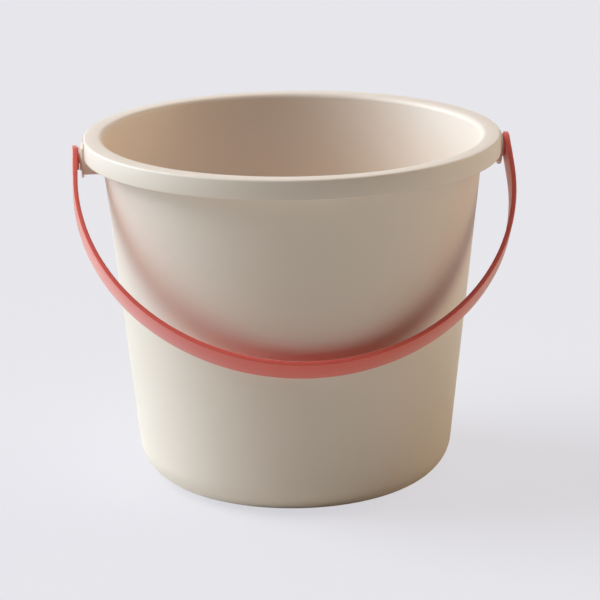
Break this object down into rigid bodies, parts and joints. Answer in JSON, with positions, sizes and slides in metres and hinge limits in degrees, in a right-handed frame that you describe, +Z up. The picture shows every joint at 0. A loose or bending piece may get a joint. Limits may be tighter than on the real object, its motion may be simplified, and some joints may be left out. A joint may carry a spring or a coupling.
{
  "type": "bucket",
  "caption": "Round tapered household bucket with a flat lip, a turned-down skirt and a hinged plastic strap bail that rests against its front.",
  "frame": {"origin": "middle of the base, on the plane that the bucket stands on", "axes": "+Z up along the bucket's axis, +X along the bail's pegs, the bail hangs at the front, towards -Y"},
  "size_m": [0.2958, 0.28, 0.237],
  "materials": {
    "bucket_plastic": "satin moulded plastic, warm cream",
    "bail_plastic": "satin moulded plastic, brick red"
  },
  "bodies": {
    "bucket": {"bucket_body": "bucket_plastic"},
    "bail": {"bail_handle": "bail_plastic"}
  },
  "joints": [
    {"name": "bail_swing", "type": "hinge", "parent": "bucket", "child": "bail", "pos_m": [0, 0, 0.2233], "axis": [-1, 0, 0], "range_deg": [0, 265.6]}
  ]
}
